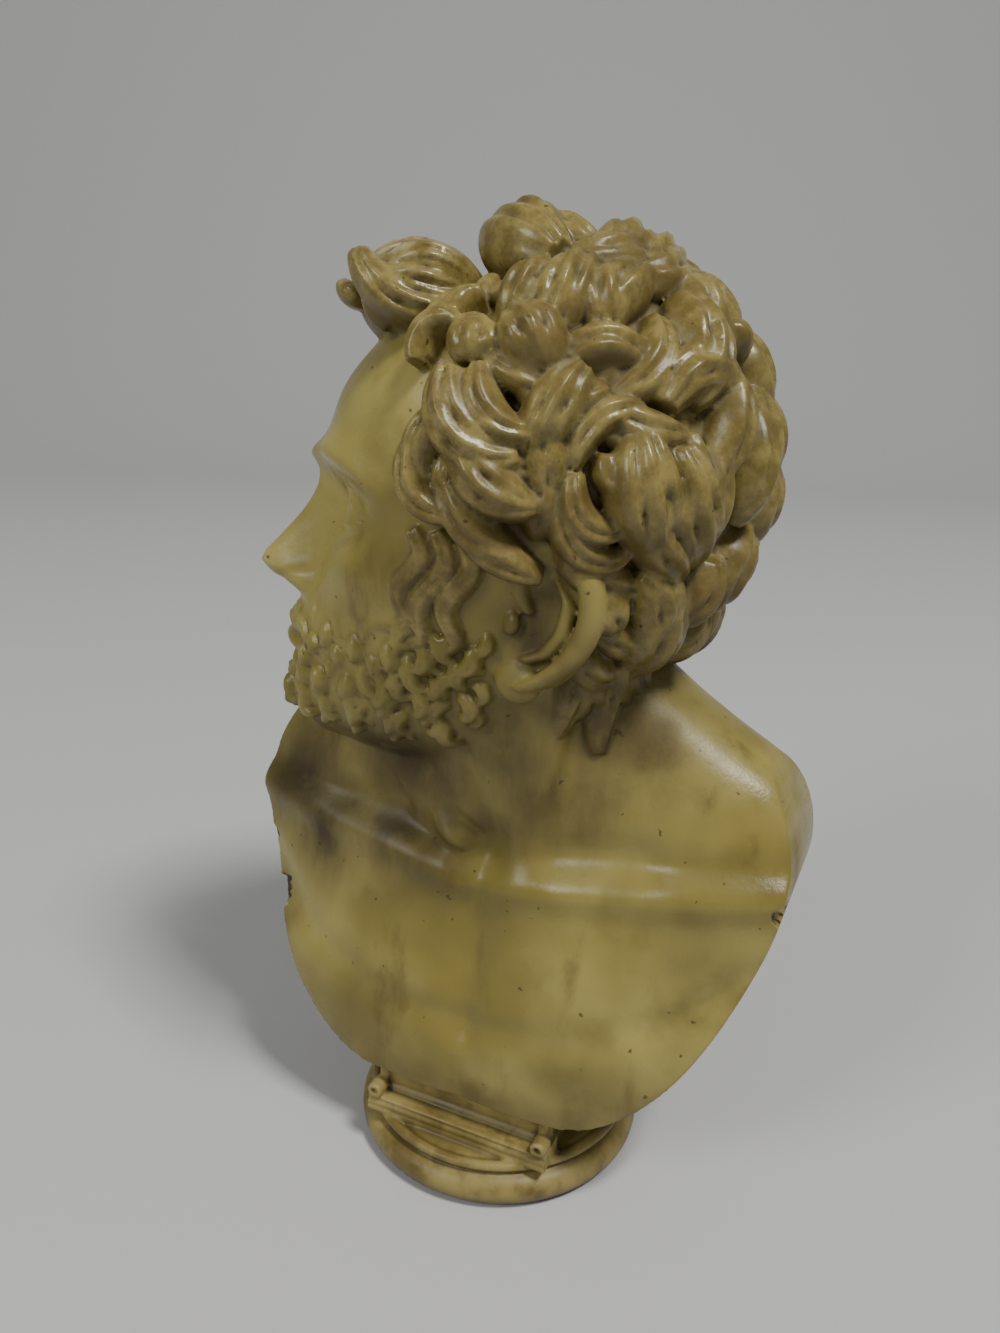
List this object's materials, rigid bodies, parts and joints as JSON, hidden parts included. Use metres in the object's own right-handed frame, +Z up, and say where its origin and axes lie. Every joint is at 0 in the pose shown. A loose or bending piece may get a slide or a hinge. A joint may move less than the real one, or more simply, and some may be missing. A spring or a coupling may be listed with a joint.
{
  "type": "plaster portrait bust",
  "caption": "Bust of a bearded, curly-haired man with turned head, shield-shaped chest and hollow back, on a round foot with a scrolled tablet.",
  "frame": {"origin": "centre of the round foot's flat underside", "axes": "+Z up, the chest faces -Y, +X is the sitter's left"},
  "size_m": [0.3682, 0.2668, 0.6049],
  "materials": {
    "toned_plaster": "cast plaster with an olive to brown glaze, waxed to a soft gloss, brown in the hollows",
    "toned_plaster_foot": "cast plaster with a browner glaze, worn pale on the rim and dark at the bottom edge"
  },
  "bodies": {
    "root": {"bust": "toned_plaster", "socle": "toned_plaster_foot"}
  },
  "joints": []
}
